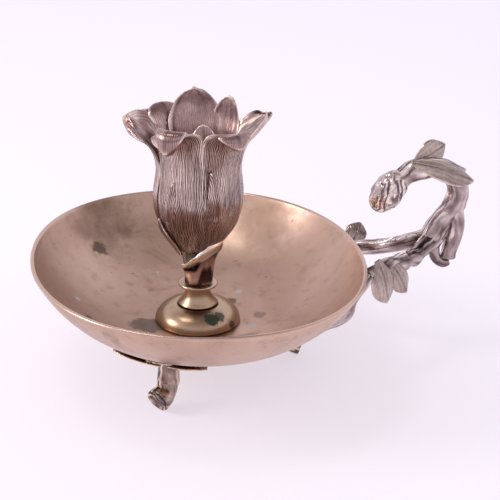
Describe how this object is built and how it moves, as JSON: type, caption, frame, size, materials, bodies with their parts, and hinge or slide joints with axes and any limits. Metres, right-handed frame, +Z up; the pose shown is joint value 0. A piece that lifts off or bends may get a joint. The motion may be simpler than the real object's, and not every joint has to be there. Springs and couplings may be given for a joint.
{
  "type": "chamber candlestick",
  "caption": "Oval brass dish candlestick with a flower-shaped candle holder on a turned pedestal, a curled branch handle with leaves, and three cut-twig feet.",
  "frame": {"origin": "on the floor plane through the three feet, under the candle's axis", "axes": "+Z up along the candle's axis, +X from the candle toward the handle, +Y across the dish"},
  "size_m": [0.1751, 0.1474, 0.1085],
  "materials": {
    "dish_brass": "satin, handled, worn bright on the rim, with stains and pale specks",
    "turned_brass": "turned and polished, dulled, verdigris in the joints",
    "flower_bronze": "chased with fine lines, copper highlights, dark recesses",
    "socket_brass": "drawn, plain, dull with wax",
    "fastener_brass": "plain turned brass",
    "handle_bronze": "grey-brown patina, dark grooves, rubbed edges",
    "leaf_bronze": "grey-brown with chased veins",
    "foot_bronze": "dark brown with golden edges"
  },
  "bodies": {
    "root": {"dish": "dish_brass", "base_dome": "turned_brass", "neck_spool": "turned_brass", "collar_ring": "turned_brass", "flower_cup": "flower_bronze", "petal_left": "flower_bronze", "petal_front_left": "flower_bronze", "petal_front_right": "flower_bronze", "petal_right": "flower_bronze", "petal_back_right": "flower_bronze", "petal_back": "flower_bronze", "stem_sheath_leaf": "flower_bronze", "candle_socket": "socket_brass", "tie_rod": "fastener_brass", "tie_washer": "fastener_brass", "tie_nut": "fastener_brass", "handle_stem": "handle_bronze", "handle_bud": "handle_bronze", "handle_branch_front": "handle_bronze", "handle_branch_rear": "handle_bronze", "dish_twig_front": "handle_bronze", "dish_twig_rear": "handle_bronze", "bud_leaf_upper": "leaf_bronze", "bud_leaf_front": "leaf_bronze", "bud_leaf_rear": "leaf_bronze", "branch_leaf_lower": "leaf_bronze", "branch_leaf_upper": "leaf_bronze", "branch_leaf_rear": "leaf_bronze", "foot_front": "foot_bronze", "foot_rear": "foot_bronze", "foot_handle": "foot_bronze", "foot_leaf_front": "foot_bronze", "foot_leaf_rear": "foot_bronze", "foot_leaf_handle": "foot_bronze"}
  },
  "joints": []
}
